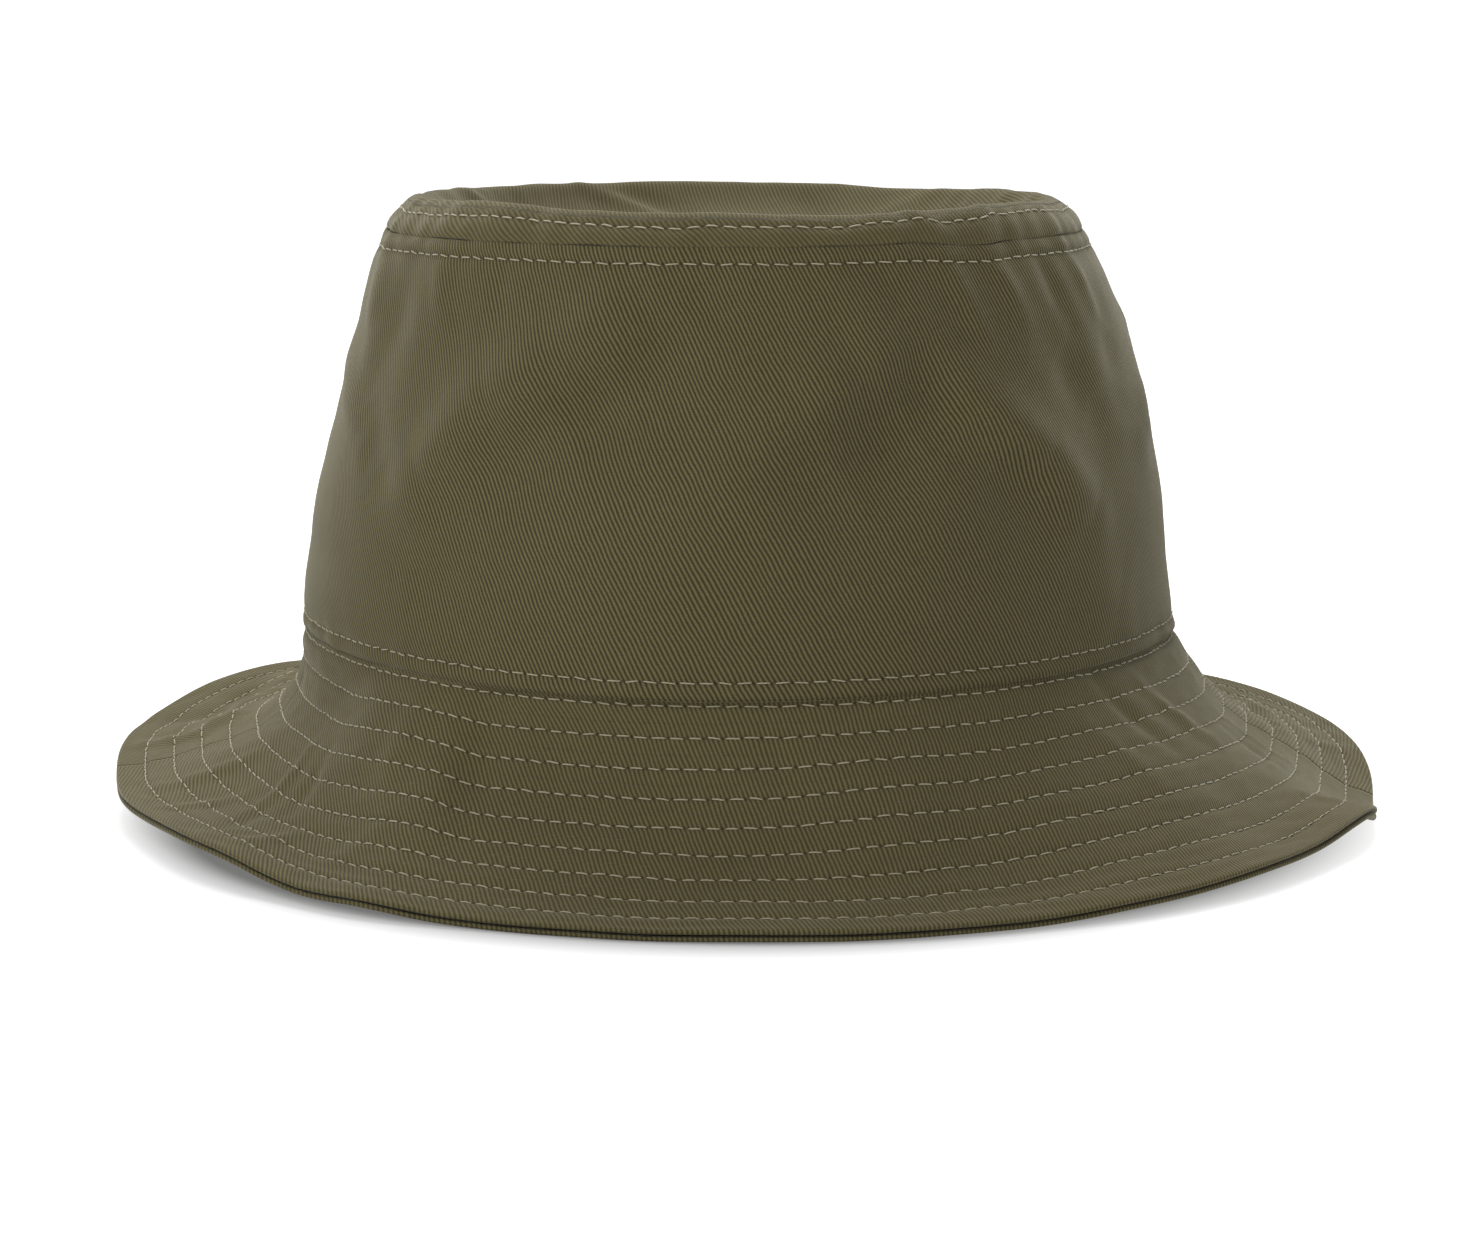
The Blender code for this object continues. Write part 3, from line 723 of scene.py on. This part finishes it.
def plain_weave(name, colour, spacing=0.5, sheen=0.3, rough=0.85):
    g = Graph(name)
    u, v = g.uv("flat")
    u, v = g.mul(u, 1000.0), g.mul(v, 1000.0)
    a = g.math("SINE", g.mul(u, 2 * math.pi / spacing))
    b = g.math("SINE", g.mul(v, 2 * math.pi / spacing))
    weave = g.add(g.mul(g.mul(a, b), 0.5), 0.5)
    fuzz = g.noise(g.vector(u, v), 2.5, 2.0, 0.6)
    gain = g.mul(g.add(g.mul(weave, 0.35), 0.80), g.add(g.mul(fuzz, 0.3), 0.85))
    g.link(g.scale_colour(colour, gain), g.shader.inputs["Base Color"])
    g.bump(g.mul(weave, 0.00008), 0.7, 1.0)
    g.set(Roughness=rough, Specular_IOR_Level=0.3, Sheen_Weight=sheen, Sheen_Roughness=0.4)
    return g.material


def herringbone(name, colour):
    g = Graph(name)
    u, v = g.uv("flat")
    u, v = g.mul(u, 1000.0), g.mul(v, 1000.0)
    side = g.math("ABSOLUTE", g.math("SUBTRACT", g.math("FRACT", g.mul(u, 1 / 6.5)), 0.5))
    line = g.add(g.mul(g.math("SINE", g.mul(g.add(g.mul(side, 6.5), v), 2 * math.pi / 0.8)), 0.5), 0.5)
    fuzz = g.noise(g.vector(u, v), 3.0, 2.0, 0.6)
    gain = g.mul(g.add(g.mul(line, 0.45), 0.72), g.add(g.mul(fuzz, 0.3), 0.85))
    g.link(g.scale_colour(colour, gain), g.shader.inputs["Base Color"])
    g.bump(g.mul(line, 0.00008), 0.7, 1.0)
    g.set(Roughness=0.85, Specular_IOR_Level=0.3, Sheen_Weight=0.25, Sheen_Roughness=0.4)
    return g.material


def thread_material(name, colour):
    g = Graph(name)
    node = g.tree.nodes.new("ShaderNodeTexCoord")
    speck = g.noise(node.outputs["Object"], 1800.0, 2.0, 0.6)
    g.link(g.scale_colour(colour, g.add(g.mul(speck, 0.5), 0.75)), g.shader.inputs["Base Color"])
    g.bump(g.mul(speck, 0.00006), 0.5, 1.0)
    g.set(Roughness=0.55, Specular_IOR_Level=0.45, Sheen_Weight=0.25, Sheen_Roughness=0.4)
    return g.material


def satin(name, colour):
    g = Graph(name)
    u, v = g.uv("flat")
    u, v = g.mul(u, 1000.0), g.mul(v, 1000.0)
    fine = g.add(g.mul(g.math("SINE", g.mul(v, 2 * math.pi / 0.22)), 0.5), 0.5)
    streak = g.noise(g.vector(g.mul(u, 0.4), g.mul(v, 6.0)), 1.0, 2.0, 0.6)
    gain = g.mul(g.add(g.mul(fine, 0.10), 0.92), g.add(g.mul(streak, 0.12), 0.94))
    g.link(g.scale_colour(colour, gain), g.shader.inputs["Base Color"])
    g.bump(g.mul(fine, 0.00002), 0.6, 1.0)
    g.set(Roughness=0.38, Specular_IOR_Level=0.5, Sheen_Weight=0.1)
    return g.material


MATERIALS = {
    "tip": twill("crown tip twill", contrast=1.3),
    "front": twill("front panel twill", contrast=2.0),
    "back": twill("back panel twill", contrast=2.0),
    "upper_front": twill("upper brim front twill"),
    "upper_back": twill("upper brim back twill"),
    "under_front": twill("under brim front twill", holes_and_groove_shade=True),
    "under_back": twill("under brim back twill", holes_and_groove_shade=True),
    "interlining": plain_weave("interlining", (0.62, 0.60, 0.55), 0.6),
    "sweatband": twill("sweatband cotton", (0.074, 0.062, 0.031), holes_and_groove_shade=False, contrast=0.5, sheen=0.35),
    "tape": herringbone("seam tape", (0.10, 0.086, 0.046)),
    "thread": thread_material("thread", (0.29, 0.262, 0.168)),
    "label": satin("label satin", (0.70, 0.69, 0.66)),
}


def dress(obj, material, body, nodes):
    obj.data.materials.clear()
    obj.data.materials.append(MATERIALS[material])
    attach(obj, body)
    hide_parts(*nodes)
    return obj


# ---------------------------------------------------------------- rows of stitching and their needle holes


def row_length(points):
    return float(np.linalg.norm(np.roll(points, -1, axis=0) - points, axis=1).sum())


RING = np.linspace(-180, 180, 721)[:-1]


def count_for(place):
    return int(round(row_length(place(RING)[0]) / STITCH))


def brim_row_place(row, off=0.0):
    def place(t):
        p, n = brim_point(t, np.array([row]), np.array([off]))
        return p[:, 0], n[:, 0] * (1 if off == 0 else -1)

    return place


def wall_row_place(kind):
    def place(t):
        t = np.asarray(t, float)
        z = (SEAM_TOP_Z - SIDE_STITCH + 0 * t) if kind == "side" else seam_z(t) + CROWN_STITCH
        p, n = wall_point(t, z[:, None])
        return p[:, 0], n[:, 0]

    return place


def tip_row_place(t):
    p, n = tip_point(t, np.array([TIP_STITCH]))
    return p[:, 0], n[:, 0]


BRIM_COUNTS = [count_for(brim_row_place(row)) for row in ROWS]
SIDE_COUNT = count_for(wall_row_place("side"))
CROWN_COUNT = count_for(wall_row_place("crown"))
TIP_COUNT = count_for(tip_row_place)
BRIM_PHASE = [0.13, 0.61, 0.37, 0.82, 0.05, 0.48, 0.74, 0.29, 0.93]


def hole_uv(t, count, phase, away):
    """Second map: stitch number along the row, and distance from it in millimetres."""
    n, m = away.shape
    number = ((np.asarray(t) + 180) / 360 * count - phase)[:, None] + 0 * away
    return np.stack([number, away], -1)


# ---------------------------------------------------------------- crown wall


def half_columns(front):
    t = np.linspace(-90, 90, COLUMNS // 2 + 1) + (0 if front else 180)
    t[0] += 0.03
    t[-1] -= 0.03
    return t


def wall_rows():
    """Shares down the wall: 0 top seam, 1 bottom seam, given as (distance from the top, distance from the bottom) mixes."""
    top = [0, 0.25, 0.55, 0.95, 1.5, 2.1, 2.6, 3.0, 3.4, 3.8, 4.2, 4.6, 5.1, 5.8, 6.6, 7.6, 8.8]
    bottom = [7.4, 6.4, 5.5, 4.9, 4.5, 4.1, 3.8, 3.5, 3.2, 2.9, 2.5, 2.0, 1.4, 0.9, 0.5, 0.2, 0.0]
    return top, bottom


def wall_grid(t, skin=0.0):
    top, bottom = wall_rows()
    zt = SEAM_TOP_Z - np.array(top)
    zb = seam_z(t)[:, None] + 0.15 + np.array(bottom)[None, :]
    mid = np.linspace(0, 1, 58)[1:-1]
    zm = zt[-1] + (zb[:, :1] - zt[-1]) * mid[None, :]
    return np.concatenate([np.repeat(zt[None, :], len(t), 0), zm, zb], 1)


def flat_wall(t, z):
    r = wall_radius(np.asarray(t)[:, None], z)
    u = np.radians(np.asarray(t))[:, None] * (88 + 0.35 * (r - 88))
    return np.stack([u, z * 1.03], -1) * MM


def wall_panel(front):
    t = half_columns(front)
    z = wall_grid(t)
    m = z.shape[1]
    # The cut edges turn in: the face rolls inwards over the last millimetre at top and bottom.
    edge_top = SEAM_TOP_Z - z
    edge_bottom = z - seam_z(t)[:, None] - 0.15
    roll = -0.16 * np.exp(-edge_top / 0.25) - 0.60 * np.exp(-edge_bottom / 0.35)
    side = np.minimum(t - t[0], t[-1] - t)[:, None] * np.pi / 180 * 90
    roll = roll - 0.35 * np.exp(-side / 0.5)
    outer, normal = wall_point(t, z, roll)
    inner = outer - normal * CLOTH
    inner[:, 0] = outer[:, 0] - normal[:, 0] * 0.5
    rows = np.minimum.reduce([np.abs(edge_top - SIDE_STITCH), np.abs(z - seam_z(t)[:, None] - CROWN_STITCH)])
    upper = (edge_top < 30).astype(float)
    away = np.where(upper > 0, edge_top - SIDE_STITCH, z - seam_z(t)[:, None] - CROWN_STITCH)
    counts = np.where(upper > 0, SIDE_COUNT, CROWN_COUNT)
    phases = np.where(upper > 0, 0.31, 0.77)
    number = ((wrap(t)[:, None] if front else t[:, None]) + 180) / 360 * counts - phases
    seam = np.stack([number, away], -1)
    uv = flat_wall(t if front else t, z)
    name = "front_panel_cloth" if front else "back_panel_cloth"
    return shell(name, outer, inner, uv, seam)


# ---------------------------------------------------------------- brim layers

STACK = 2.5


def brim_s():
    s = [-8.0, -6.0, -4.0, -2.4, -1.2, -0.5, 0.0, 0.3, 0.55]
    for row in ROWS:
        s += [row + d for d in (-0.85, -0.5, -0.25, 0.0, 0.25, 0.5, 0.85, 1.5)]
        s += [row + 1.5 + (ROW_PITCH - 2.35) * k / 5 for k in range(1, 5)]
    s = sorted(x for x in set(np.round(s, 4)) if x < BRIM_LENGTH - 1.3 and (x >= 0.55 or x in (-8.0, -6.0, -4.0, -2.4, -1.2, -0.5, 0.0, 0.3)))
    return np.array(s)


def brim_layer_grid(t, upper):
    """Outer and inner grids of one brim layer, with its edge turned in."""
    s = brim_s()
    L = BRIM_LENGTH
    edge_s = np.array([L - 1.0, L - 0.6, L - 0.32, L - 0.14, L - 0.03, L, L - 0.05, L - 0.2, L - 0.45])
    drop = np.array([0.0, 0.02, 0.08, 0.19, 0.34, 0.52, 0.74, 0.92, 1.02])
    if not upper:
        edge_s = edge_s - 0.05
    full_s = np.concatenate([s, edge_s])
    if upper:
        off = np.concatenate([0 * s, -drop])
        skin = np.concatenate([0 * s - CLOTH, np.minimum(-CLOTH, -drop + 0.0)])
        inner_s = np.concatenate([s, np.full(9, 0.0) + np.linspace(L - 1.1, L - 1.6, 9)])
    else:
        off = np.concatenate([0 * s - STACK, -STACK + drop])
        skin = np.concatenate([0 * s - STACK + CLOTH, np.full(9, -STACK + CLOTH)])
        inner_s = np.concatenate([s, np.linspace(L - 1.35, L - 1.9, 9)])
    if not upper:
        # Nothing more is done here for the under layer.
        pass
    outer, normal = brim_point(t, full_s, off)
    inner, _ = brim_point(t, inner_s, skin)
    return full_s, outer, inner


def flat_brim(t, s, turn=9.0):
    rho = 131.0 + s
    theta = np.radians(0.724 * np.asarray(t))
    u = rho[None, :] * np.sin(theta)[:, None]
    v = -rho[None, :] * np.cos(theta)[:, None]
    c, sn = math.cos(math.radians(turn)), math.sin(math.radians(turn))
    return np.stack([c * u - sn * v, sn * u + c * v], -1) * MM


def brim_seam_map(t, s, shift=0.0):
    nearest = np.argmin(np.abs(np.asarray(s)[:, None] - np.array(ROWS)[None, :]), 1)
    away = np.asarray(s) - np.array(ROWS)[nearest]
    counts = np.array(BRIM_COUNTS)[nearest]
    phase = np.array(BRIM_PHASE)[nearest] + shift
    number = (np.asarray(t)[:, None] + 180) / 360 * counts[None, :] - phase[None, :]
    return np.stack([number, np.repeat(away[None, :], len(t), 0)], -1)


def brim_piece(front, upper):
    t = half_columns(front)
    s, outer, inner = brim_layer_grid(t, upper)
    local = t if front else t - 180
    uv = flat_brim(local, s)
    seam = brim_seam_map(t, s, 0.0 if upper else 0.5)
    name = ("upper_brim_" if upper else "under_brim_") + ("front" if front else "back") + "_cloth"
    if not upper:
        outer, inner = inner, outer  # the lower face points down
    return shell(name, outer, inner, uv, seam)


# ---------------------------------------------------------------- build everything

TWO_PI = 2 * math.pi

# Crown wall
for front in (True, False):
    half = "front" if front else "back"
    dress(
        wall_panel(front), half, "hat", ["side_panel_" + half],
    )

# Top panel
a_rows = np.array(
    [0, 0.2, 0.45, 0.8, 1.3, 1.9, 2.5, 3.0, 3.5, 3.9, 4.15, 4.4, 4.65, 4.9, 5.4, 6.0, 6.6, 7.2, 7.9, 8.6, 9.4, 10.2, 11.0, 12.0, 13.0, 14.2, 15.5, 17, 18.5, 20, 22, 24, 26, 28.5, 31, 34, 37, 40, 44, 48, 53, 58, 63, 68, 73, 78, TIP_ARC[-1]]
)[::-1]
t_ring = -180 + 360 * np.arange(COLUMNS) / COLUMNS
roll = -0.16 * np.exp(-a_rows / 0.25)
tip_outer, tip_normal = tip_point(t_ring, a_rows, np.repeat(roll[None, :], COLUMNS, 0))
tip_outer[:, 0] = tip_outer[:, 0].mean(0)
tip_inner = tip_outer - tip_normal * CLOTH
tip_inner[:, 0] = tip_outer[:, 0] - np.array([0, 0, CLOTH])
t_uv = np.append(t_ring, 180.0)
rho = TIP_ARC[-1] - a_rows
disc = np.stack([rho[None, :] * sind(t_uv)[:, None], -rho[None, :] * cosd(t_uv)[:, None]], -1)
spin = math.radians(12.0)
disc = np.stack([math.cos(spin) * disc[..., 0] - math.sin(spin) * disc[..., 1], math.sin(spin) * disc[..., 0] + math.cos(spin) * disc[..., 1]], -1)
band_r = 170.0 + (a_rows[::-1][0] - a_rows)
theta = np.radians(0.45 * t_uv)
band = np.stack([band_r[None, :] * np.sin(theta)[:, None], -band_r[None, :] * np.cos(theta)[:, None]], -1)
spin = math.radians(-12.0)
band = np.stack([math.cos(spin) * band[..., 0] - math.sin(spin) * band[..., 1], math.sin(spin) * band[..., 0] + math.cos(spin) * band[..., 1]], -1)
tip_uv = np.where((a_rows < 6.1)[None, :, None], band, disc) * MM
number = (t_uv + 180) / 360 * TIP_COUNT - 0.5
tip_seam = np.stack([number[:, None] + 0 * a_rows[None, :], np.repeat((a_rows - TIP_STITCH)[None, :], len(t_uv), 0)], -1)
tip = shell("crown_tip_cloth", tip_outer, tip_inner, tip_uv, tip_seam, closed=True, pole=True)
dress(tip, "tip", "hat", ["crown_tip"])

# Brim
for front in (True, False):
    half = "front" if front else "back"
    for upper in (True, False):
        layer = "upper" if upper else "under"
        dress(
            brim_piece(front, upper), layer + "_" + half, "hat", [f"{layer}_brim_{half}"],
        )

t_all = -180 + 360 * np.arange(COLUMNS // 2) / (COLUMNS // 2)
s_in = np.linspace(1.5, BRIM_LENGTH - 3.0, 24)
o1, _ = brim_point(t_all, s_in, np.full(24, -1.0))
o2, _ = brim_point(t_all, s_in, np.full(24, -1.35))
uv = flat_brim(np.append(t_all, 180.0), s_in)
dress(shell("interlining_cloth", o1, o2, uv, closed=True), "interlining", "hat", ["brim_interlining"])

# Inside the crown: sweatband, seam tape over the top seam, tapes over the side seams.


def inside_sheet(name, t, z, inset, thick, closed, uv_scale=88.0, smooth=False):
    tt = np.asarray(t, float)
    p, n = wall_point(tt, np.repeat(np.asarray(z)[None, :], len(tt), 0), 0.0)
    zz = np.asarray(z)[None, :] + 0 * tt[:, None]
    relief = wall_dips(tt[:, None], zz) + (wall_relief(tt[:, None], zz) if smooth else 0)
    p = p - n * relief[..., None]
    depth = np.broadcast_to(np.asarray(inset, float), zz.shape)[..., None]
    outer = p - n * depth
    inner = p - n * (depth + thick)
    tu = np.append(tt, 180.0) if closed else tt
    uv = np.stack([np.radians(tu)[:, None] * uv_scale + 0 * np.asarray(z)[None, :], np.asarray(z)[None, :] + 0 * tu[:, None]], -1) * MM
    return shell(name, outer, inner, uv, closed=closed)


z_band = np.array([71.0, 70.8, 70.2, 69.3, 68.5, 67.6, 66, 62, 59, 56, 53, 50, 47, 44.5, 43.2, 42.4])
band_inset = 4.1 - 0.8 * step(49, 60, z_band)
band = inside_sheet("sweatband_cloth", t_all, z_band, band_inset, 0.65, True, smooth=True)
dress(band, "sweatband", "hat", ["sweatband"])
z_tape = np.linspace(125.7, 118.1, 9)
tape = inside_sheet("crown_tape_cloth", t_all, z_tape, 2.05, 0.4, True)
dress(tape, "tape", "hat", ["crown_seam_tape"])
for node, middle in (("side_seam_tape_left", 90.0), ("side_seam_tape_right", -90.0)):
    tt = np.linspace(middle - 3.95, middle + 3.95, 15)
    tape = inside_sheet(node.replace("_seam", "") + "_cloth", tt, np.linspace(117, 50, 40), 1.65, 0.4, False)
    dress(tape, "tape", "hat", [node])

# Rows of stitching


def under_place(row):
    return brim_row_place(row, -STACK)


for k, row in enumerate(ROWS):
    rows = stitch_row(f"brim_row_{k + 1}_thread", brim_row_place(row), BRIM_COUNTS[k], 100 + k, phase=BRIM_PHASE[k], under=under_place(row))
    dress(rows, "thread", "hat", [f"brim_stitch_row_{k + 1}"])
dress(stitch_row("tip_topstitch_thread", tip_row_place, TIP_COUNT, 121, phase=0.5), "thread", "hat", ["tip_topstitch"])
dress(stitch_row("side_topstitch_thread", wall_row_place("side"), SIDE_COUNT, 122, phase=0.31), "thread", "hat", ["side_topstitch"])
dress(stitch_row("crown_topstitch_thread", wall_row_place("crown"), CROWN_COUNT, 123, phase=0.77), "thread", "hat", ["crown_topstitch"])


def band_row(t):
    t = np.asarray(t, float)
    z = np.full((len(t), 1), 68.5)
    p, n = wall_point(t, z, 0.0)
    n = n[:, 0]
    relief = wall_dips(t[:, None], z) + wall_relief(t[:, None], z)
    return p[:, 0] - n * (3.77 + relief), -n


dress(stitch_row("sweatband_thread", band_row, count_for(band_row), 124, phase=0.2), "thread", "hat", ["sweatband_stitch"])

# Label
low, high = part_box("care_label")
lw, lh = 24.0, 30.0
xs = np.linspace(-lw / 2, lw / 2, 25)
zs = np.linspace(0, -lh, 31)
yc = (low.y + high.y) / 2 / MM
ztop = high.z / MM
outer = np.zeros((25, 31, 3))
outer[..., 0] = xs[:, None]
outer[..., 2] = ztop + zs[None, :]
curl = 0.10 * np.sin(xs / 12 * 2.2)[:, None] * (zs / -30)[None, :]
outer[..., 1] = yc - 0.18 + curl - 0.45 * step(0.3, 3.5, -zs)[None, :] * (xs / 12)[:, None] ** 2
inner = outer.copy()
inner[..., 1] += 0.36
uv = np.stack([np.repeat(xs[:, None], 31, 1), np.repeat(zs[None, :], 25, 0)], -1) * MM
label = shell("care_label_cloth", outer, inner, uv)
dress(label, "label", "label", ["care_label"])

# ---------------------------------------------------------------- floor, light, camera

floor_mesh = bpy.data.meshes.new("floor")
floor_mesh.from_pydata([(-400, -400, -0.0002), (400, -400, -0.0002), (400, 400, -0.0002), (-400, 400, -0.0002)], [], [(0, 1, 2, 3)])
floor = bpy.data.objects.new("floor", floor_mesh)
bpy.context.scene.collection.objects.link(floor)
# The floor glows white as a backdrop. Round the hat's footprint the glow is dimmed: a painted contact shadow.
g = Graph("white floor with painted contact shadow")
coord = g.tree.nodes.new("ShaderNodeTexCoord")
split = g.tree.nodes.new("ShaderNodeSeparateXYZ")
g.link(coord.outputs["Object"], split.inputs[0])
qx = g.mul(split.outputs[0], 1 / 0.137)
qy = g.mul(split.outputs[1], 1 / 0.160)
q = g.math("SQRT", g.add(g.mul(qx, qx), g.mul(qy, qy)))
rise = g.math("MULTIPLY_ADD", q, 1 / (FLOOR_OUT - FLOOR_IN), -FLOOR_IN / (FLOOR_OUT - FLOOR_IN), clamp=True)
left = g.math("SUBTRACT", 1.0, rise)
unshadowed = g.math("SUBTRACT", 1.0, g.math("POWER", left, 1.5))
g.link(g.math("MULTIPLY_ADD", unshadowed, 1.0 - FLOOR_DARK, FLOOR_DARK), g.shader.inputs["Emission Strength"])
g.set(Base_Color=(0.25, 0.25, 0.25, 1.0), Roughness=0.9, Specular_IOR_Level=0.1, Emission_Color=(1, 1, 1, 1))
floor_mesh.materials.append(g.material)

world = bpy.data.worlds.new("studio")
world.use_nodes = True
wt = world.node_tree
coord = wt.nodes.new("ShaderNodeTexCoord")
split = wt.nodes.new("ShaderNodeSeparateXYZ")
wt.links.new(coord.outputs["Generated"], split.inputs[0])
ramp = wt.nodes.new("ShaderNodeMapRange")
ramp.interpolation_type = "SMOOTHSTEP"
for key, value in (("From Min", 0.01), ("From Max", 0.14), ("To Min", 1.0), ("To Max", SKY_TOP)):
    ramp.inputs[key].default_value = value
wt.links.new(split.outputs[2], ramp.inputs["Value"])
wt.links.new(ramp.outputs[0], wt.nodes["Background"].inputs[1])
wt.nodes["Background"].inputs[0].default_value = (1.0, 1.0, 1.0, 1.0)
bpy.context.scene.world = world


def soft_light(name, place, target, size, power, colour=(1, 1, 1)):
    data = bpy.data.lights.new(name, "AREA")
    data.shape = "RECTANGLE"
    data.size, data.size_y = size
    data.energy = power
    data.color = colour
    lamp = bpy.data.objects.new(name, data)
    bpy.context.scene.collection.objects.link(lamp)
    from mathutils import Vector

    lamp.location = place
    lamp.rotation_euler = (Vector(target) - Vector(place)).to_track_quat("-Z", "Y").to_euler()
    return lamp


soft_light("key", (-0.02, 0.80, 1.45), (0, 0, 0.05), (1.1, 0.7), KEY)
soft_light("left", (-1.5, -0.85, 0.28), (0, 0, 0.08), (0.6, 0.6), LEFT)
soft_light("right", (1.5, -0.45, 0.35), (0, 0, 0.08), (0.6, 0.6), RIGHT)
soft_light("top", (-0.75, -0.95, 1.35), (0, 0, 0.08), (0.8, 0.8), TOP)

camera_data = bpy.data.cameras.new("camera")
camera_data.sensor_width = 36.0
camera_data.sensor_fit = "HORIZONTAL"
camera_data.lens = 107.85
camera_data.clip_start = 0.05
camera_data.clip_end = 2000.0
camera = bpy.data.objects.new("camera", camera_data)
bpy.context.scene.collection.objects.link(camera)
camera.location = (-0.74 * MM, -944 * MM, 174.4 * MM)
camera.rotation_euler = (math.radians(90 - 8.14), 0.0, 0.0)
bpy.context.scene.camera = camera
bpy.context.scene.view_settings.view_transform = "Standard"
bpy.context.scene.view_settings.look = "None"
